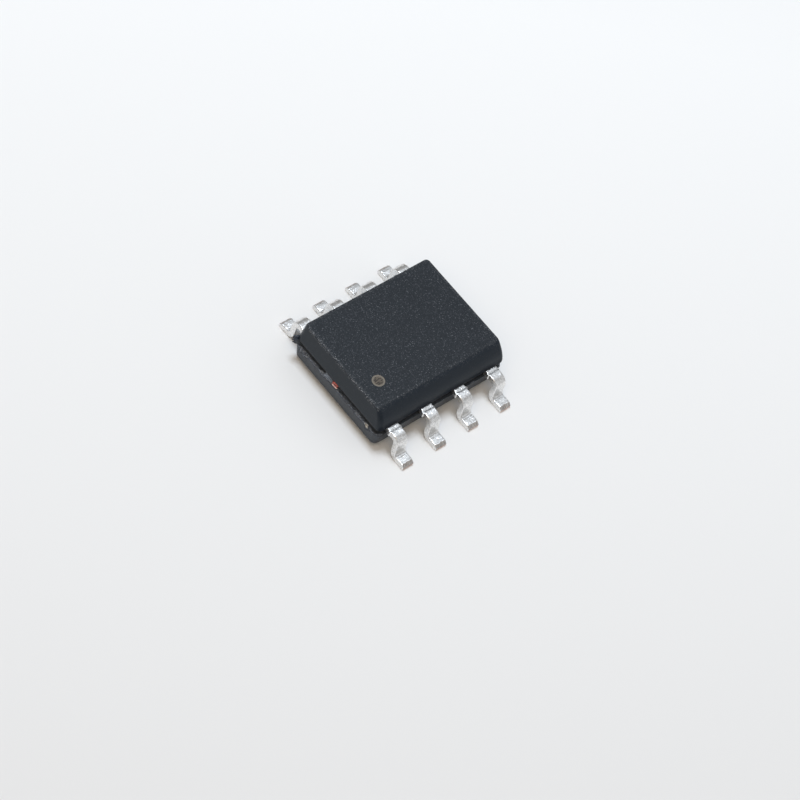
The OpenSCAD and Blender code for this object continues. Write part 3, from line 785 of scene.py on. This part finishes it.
def strip_section(half_width, half_thickness, upper_round, lower_round):
    """A strip's cross-section as (sideways, upward) points, with rounded corners."""
    points = []
    for quarter, (side, up) in enumerate([(1, 1), (-1, 1), (-1, -1), (1, -1)]):
        radius = upper_round if up > 0 else lower_round
        for k in range(EDGE_STEPS + 1):
            angle = math.pi / 2 * (quarter + k / EDGE_STEPS)
            points.append((
                side * (half_width - radius) + radius * math.cos(angle),
                up * (half_thickness - radius) + radius * math.sin(angle),
            ))
        if quarter % 2 == 0:
            run = half_width - radius
            across = [1 - 2 * k / FACE_STEPS for k in range(1, FACE_STEPS)]
            points += [(side * run * share, up * half_thickness) for share in across]
        else:
            points += [(side * half_width, up * half_thickness * share) for share in SIDE_ROWS]
    return np.array(points)


# Marks that the forming tool left across the upper side of a lead, darkened with painted shade: where they
# lie along its middle line, half their width, their depth and how much painted shade they take
PRESS_MARKS = (
    (0.205, 0.042, 0.010, 0.55), (1.05, 0.04, 0.003, 0.1), (1.2, 0.026, 0.008, 0.55),
    (1.31, 0.02, 0.003, 0.6), (1.56, 0.045, 0.003, 0.4),
)
# Noise on the leads by amount and scale: in the stubs, the toe's slant, the marks' course and the dents
STUB_NOISE, TOE_NOISE, MARK_NOISE = (0.35, 5), (0.35, 14), (0.012, 6)
DENT_NOISES = ((0.0035, 7), (0.002, 24))
# How much faster the stubs' noise changes along the lead, and the level that the toe's is read on
STUB_GRAIN, TOE_LEVEL = 3, 1


def formed_lead(shell, x, facing, seed):
    """The part of a lead that shows: dam bar stubs, bends, press marks, dents and a sheared toe."""
    rings = []
    section = strip_section(LEAD_HALF_WIDTH, LEAD_HALF_THICKNESS, LEAD_UPPER_ROUND, LEAD_LOWER_ROUND)
    travel, last = 0.0, None
    for y, z, turn in lead_course():
        travel += math.dist((y, z), last) if last else 0.0
        last = (y, z)
        on_stub = smooth_step(STUB_START - STUB_RISE, STUB_START, y)
        on_stub *= 1 - smooth_step(STUB_END - STUB_FALL, STUB_END + STUB_FALL, y)
        near_toe = smooth_step(TOE - TOE_REACH, TOE, y)
        toe_share = np.clip((y - FOOT_Y) / (TOE - FOOT_Y), 0, 1)
        upward = np.array([math.sin(turn), math.cos(turn)])
        points, worn = [], []
        for side, up in section:
            stub = on_stub * STUB_REACH * (1 + rough((x, y * STUB_GRAIN, side), *STUB_NOISE, seed))
            side += math.copysign(stub, side) * smooth_step(*STUB_SIDES, abs(side))
            share = up / LEAD_HALF_THICKNESS
            on_top = max(0, share)
            wander = rough((x + side, seed, 0), *MARK_NOISE)
            marks = [
                (math.exp(-(((travel - place - wander) / width) ** 2)) * on_top, depth, dull)
                for place, width, depth, dull in PRESS_MARKS
            ]
            sink = -TOE_SAG * near_toe**2 * on_top - sum(mark * depth for mark, depth, _ in marks)
            ragged = 1 + rough((x + side, seed, TOE_LEVEL), *TOE_NOISE)
            slip = -TOE_SLANT * toe_share * on_top * ragged
            side *= 1 - TOE_NARROWING * near_toe**2
            spot = np.array([y, z]) + upward * (up + sink) + np.array([slip, 0])
            dent = sum(rough((x + side, *spot), *dents, seed) for dents in DENT_NOISES)
            away = np.array([side / LEAD_HALF_WIDTH, *(upward * share)])
            away = away / np.linalg.norm(away) * dent * (1 - near_toe)
            points.append((x + side + away[0], facing * (spot[0] + away[1]), max(spot[1] + away[2], 0.0)))
            # How much painted shade the press marks lay on this point
            worn.append(min(1, sum(mark * dull for mark, _, dull in marks)))
        rings.append(shell.add_points(points, worn=worn))
    shell.loft(rings[:-1], TIN_FACE)
    shell.loft(rings[-2:], CUT_FACE)
    shell.cap([rings[0]], TIN_FACE)
    shell.fan(rings[-1], (x, facing * TOE, LEAD_HALF_THICKNESS), CUT_FACE)


def plate(shell, corners, holes=()):
    """A flat stamping of the leadframe's thickness, with its holes."""
    loops = [corners] + [circle(centre, LOCK_HOLE_RADIUS, HOLE_POINTS) for centre in holes]
    low = [shell.add_points([(a, b, LEAD_BOTTOM) for a, b in loop]) for loop in loops]
    high = [shell.add_points([(a, b, LEAD_TOP) for a, b in loop]) for loop in loops]
    for below, above in zip(low, high):
        shell.loft([below, above], TIN_FACE, flat=True)
    shell.cap(low, TIN_FACE)
    shell.cap(high, TIN_FACE)


# Seeds that make each lead's dents its own: the front leads' step, then the back ones' start and steps
FRONT_SEED, BACK_SEED, FRAME_SEED, BACK_LEAD_SEED = 3.7, 20, 5, 3.1
# Amount and scale of the noise in a tie bar's broken end
TIE_NOISE = (0.012, 12)


def post_lead(name, number, node, *materials):
    """One of the front leads, with its bond post inside the body."""
    shell = Shell(name, *materials)
    x = LEAD_X[number - 1]
    wide, narrow = POST_HALF_WIDTH, LEAD_HALF_WIDTH
    plate(shell, [
        (x - wide, -POST_INNER), (x - wide, -POST_OUTER), (x - narrow, -POST_OUTER), (x - narrow, -ROOT_END),
        (x + narrow, -ROOT_END), (x + narrow, -POST_OUTER), (x + wide, -POST_OUTER), (x + wide, -POST_INNER),
    ])
    formed_lead(shell, x, -1, number * FRONT_SEED)
    shell.build(node)


def tie_bar(shell, side):
    """The end of a tie bar, from the paddle to where it was broken off."""
    section = strip_section(TIE_HALF_WIDTH, LEAD_HALF_THICKNESS - TIE_GAP, TIE_ROUND, TIE_ROUND)
    middle = (LEAD_BOTTOM + LEAD_TOP) / 2
    rings = []
    for reach, size in TIE_RINGS:
        points = []
        for a, b in section:
            ragged = rough((reach, a, b), *TIE_NOISE, side) * (size < 1)
            points.append((side * (reach + ragged), TIE_Y + a * size, middle + b * size))
        rings.append(shell.add_points(points))
    shell.loft(rings, COPPER_FACE)
    shell.cap([rings[0]], COPPER_FACE)
    shell.cap([rings[-1]], COPPER_FACE)


def drain_frame(name, side, node, *materials):
    """A paddle with its two back leads and its tie bar, whose broken end shows in the seam."""
    shell = Shell(name, *materials)
    near, far = LEAD_X[2], LEAD_X[3]
    half = LEAD_HALF_WIDTH
    corners = [
        (PADDLE_INNER, PADDLE_FRONT), (PADDLE_OUTER, PADDLE_FRONT),
        (PADDLE_OUTER, TIE_Y - TIE_HALF_WIDTH), (TIE_ROOT, TIE_Y - TIE_HALF_WIDTH),
        (TIE_ROOT, TIE_Y + TIE_HALF_WIDTH), (PADDLE_OUTER, TIE_Y + TIE_HALF_WIDTH),
        (PADDLE_OUTER, PADDLE_BACK), (far + half, PADDLE_BACK), (far + half, ROOT_END),
        (far - half, ROOT_END), (far - half, PADDLE_BACK), (near + half, PADDLE_BACK),
        (near + half, ROOT_END), (near - half, ROOT_END), (near - half, PADDLE_BACK),
        (PADDLE_INNER, PADDLE_BACK),
    ]
    holes = [(side * near, LOCK_HOLE_Y), (side * far, LOCK_HOLE_Y)]
    plate(shell, [(side * a, b) for a, b in corners], holes)
    for number, x in enumerate((near, far)):
        formed_lead(shell, side * x, 1, BACK_SEED + side * FRAME_SEED + number * BACK_LEAD_SEED)
    tie_bar(shell, side)
    shell.build(node)


moulded_body(
    mould_paint(),
    etch_paint("laser_etch", ETCHED_RESIN, hatched=False),
    etch_paint("laser_hatch", HATCHED_RESIN, hatched=True),
)
tin, cut, copper = tin_paint(), cut_paint(), copper_paint()
for number, node in enumerate(("source_lead_1", "gate_lead_1", "source_lead_2", "gate_lead_2"), 1):
    post_lead(f"lead_{number}", number, node, tin, cut)
drain_frame("leads_7_and_8", -1, "drain_frame_1", tin, cut, copper)
drain_frame("leads_5_and_6", 1, "drain_frame_2", tin, cut, copper)

# Materials inside, by the first word found in a node's name: name, colours, scale, metallic, roughness
INSIDE = {
    "die_attach": ("die_solder", ((0.42, 0.43, 0.45), (0.62, 0.63, 0.64)), 18, 1.0, 0.5),
    "die_": ("silicon", ((0.06, 0.065, 0.09), (0.12, 0.13, 0.17)), 30, 0.0, 0.2),
    "wire": ("gold_wire", ((0.72, 0.50, 0.16), (0.88, 0.66, 0.28)), 60, 1.0, 0.25),
}
inner_paints = {word: inner_paint(*finish) for word, finish in INSIDE.items()}
for name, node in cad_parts.items():
    paint = next((made for word, made in inner_paints.items() if word in name), None)
    if paint:
        node.data.materials.clear()
        node.data.materials.append(paint)

# The ground: half its width in metres, the way and the range in which painted light brightens it, and its
# look
GROUND_REACH = 2.0
GROUND_AWAY, GROUND_RANGE = (0.7, 0.714, 0), (-17, 15)
GROUND_PAINTED_LIGHT_COLOURS = ((0.735, 0.735, 0.735), (0.9, 0.91, 0.915))
GROUND_ROUGHNESS, GROUND_GLOSS = 0.7, 0.2


def floor():
    """A wide pale ground, with painted light that makes it a little brighter away from the camera."""
    p = Paint("pale_ground")
    away = p.node("ShaderNodeVectorMath", operation="DOT_PRODUCT")
    p.put(away.inputs[0], p.place)
    away.inputs[1].default_value = GROUND_AWAY
    ramp = p.node("ShaderNodeMapRange")
    p.put(ramp.inputs["Value"], away.outputs["Value"])
    for name, value in zip(("From Min", "From Max"), GROUND_RANGE):
        ramp.inputs[name].default_value = value
    # Painted light: the ground's colour brightens away from the camera
    p.set(Base_Color=p.mix(ramp.outputs["Result"], *GROUND_PAINTED_LIGHT_COLOURS))
    p.set(Roughness=GROUND_ROUGHNESS, Specular_IOR_Level=GROUND_GLOSS)
    corners = [(x * GROUND_REACH, y * GROUND_REACH, 0) for x, y in ((-1, -1), (1, -1), (1, 1), (-1, 1))]
    mesh = bpy.data.meshes.new("ground")
    mesh.from_pydata(corners, [], [(0, 1, 2, 3)])
    mesh.materials.append(p.material)
    ground = bpy.data.objects.new("ground", mesh)
    bpy.context.scene.collection.objects.link(ground)


# The lamps: place, width, power in watts and colour
COOL_LIGHT, WARM_LIGHT, PLAIN_LIGHT = (0.885, 0.98, 1.09), (1.25, 0.975, 0.66), (0.96, 1.0, 1.04)
LAMPS = {
    "key": ((0, 30, 157), 48, 0.137, COOL_LIGHT),
    "fill": ((-71, -37, 150), 120, 0.057, WARM_LIGHT),
    "back": ((96, 10, 166), 170, 0.027, COOL_LIGHT),
    "front": ((75, -125, 56), 110, 0.015, PLAIN_LIGHT),
}


def area_light(name, place, size, power, colour):
    """A soft square lamp that faces the object."""
    lamp = bpy.data.lights.new(name, "AREA")
    lamp.shape, lamp.size, lamp.energy, lamp.color = "SQUARE", size * MM, power, colour
    holder = bpy.data.objects.new(name, lamp)
    holder.location = Vector(place) * MM
    holder.rotation_euler = (-Vector(place)).to_track_quat("-Z", "Y").to_euler()
    bpy.context.scene.collection.objects.link(holder)


# The tent's colours along the ground, at a middle height and overhead, and that height
TENT_COLOURS = ((0.15, 0.135, 0.12), (0.28, 0.278, 0.276), (0.42, 0.418, 0.416))
TENT_MIDDLE = 0.28


def sky():
    """A soft tent: dim along the ground and paler above."""
    world = bpy.data.worlds.new("tent")
    bpy.context.scene.world = world
    world.use_nodes = True
    tree = world.node_tree
    way = tree.nodes.new("ShaderNodeTexCoord")
    parts = tree.nodes.new("ShaderNodeSeparateXYZ")
    tree.links.new(way.outputs["Generated"], parts.inputs["Vector"])
    ramp = tree.nodes.new("ShaderNodeValToRGB")
    tree.links.new(parts.outputs["Z"], ramp.inputs["Fac"])
    stops = ramp.color_ramp.elements
    stops[1].position = TENT_MIDDLE
    stops.new(1.0)
    for stop, colour in zip(stops, TENT_COLOURS):
        stop.color = (*colour, 1)
    tree.links.new(ramp.outputs["Color"], tree.nodes["Background"].inputs["Color"])


# The camera's angles in degrees, the height it looks at, its distance, and how far it is moved aside
AZIMUTH, ELEVATION, ROLL = -56.9496, 54.267, 21.4455
AIM_HEIGHT, DISTANCE, MOVED_RIGHT, MOVED_UP = 0.8, 76.636, -0.0055, -1.4265
# Its focal length and image width in pixels, its sensor's width, and its clipping distances in metres
FOCAL_PIXELS, IMAGE_PIXELS, SENSOR_WIDTH = 2613.24, 800, 36
CLIP_START, CLIP_END = 0.001, 10


def camera():
    """The photograph's view: a long lens above the first lead's corner, a little rolled."""
    azimuth, elevation, roll = (math.radians(v) for v in (AZIMUTH, ELEVATION, ROLL))
    back = Vector((
        math.sin(azimuth) * math.cos(elevation),
        -math.cos(azimuth) * math.cos(elevation),
        math.sin(elevation),
    ))
    level = Vector((math.cos(azimuth), math.sin(azimuth), 0))
    upright = back.cross(level)
    right = level * math.cos(roll) + upright * math.sin(roll)
    up = upright * math.cos(roll) - level * math.sin(roll)
    place = Vector((0, 0, AIM_HEIGHT)) + back * DISTANCE + right * MOVED_RIGHT + up * MOVED_UP
    lens = bpy.data.cameras.new("camera")
    lens.sensor_width, lens.lens = SENSOR_WIDTH, SENSOR_WIDTH * FOCAL_PIXELS / IMAGE_PIXELS
    lens.clip_start, lens.clip_end = CLIP_START, CLIP_END
    holder = bpy.data.objects.new("camera", lens)
    holder.matrix_world = Matrix.Translation(place * MM) @ Matrix((right, up, back)).transposed().to_4x4()
    bpy.context.scene.collection.objects.link(holder)
    bpy.context.scene.camera = holder


floor()
sky()
for name, settings in LAMPS.items():
    area_light(name, *settings)
camera()
bpy.context.scene.view_settings.view_transform = "Standard"
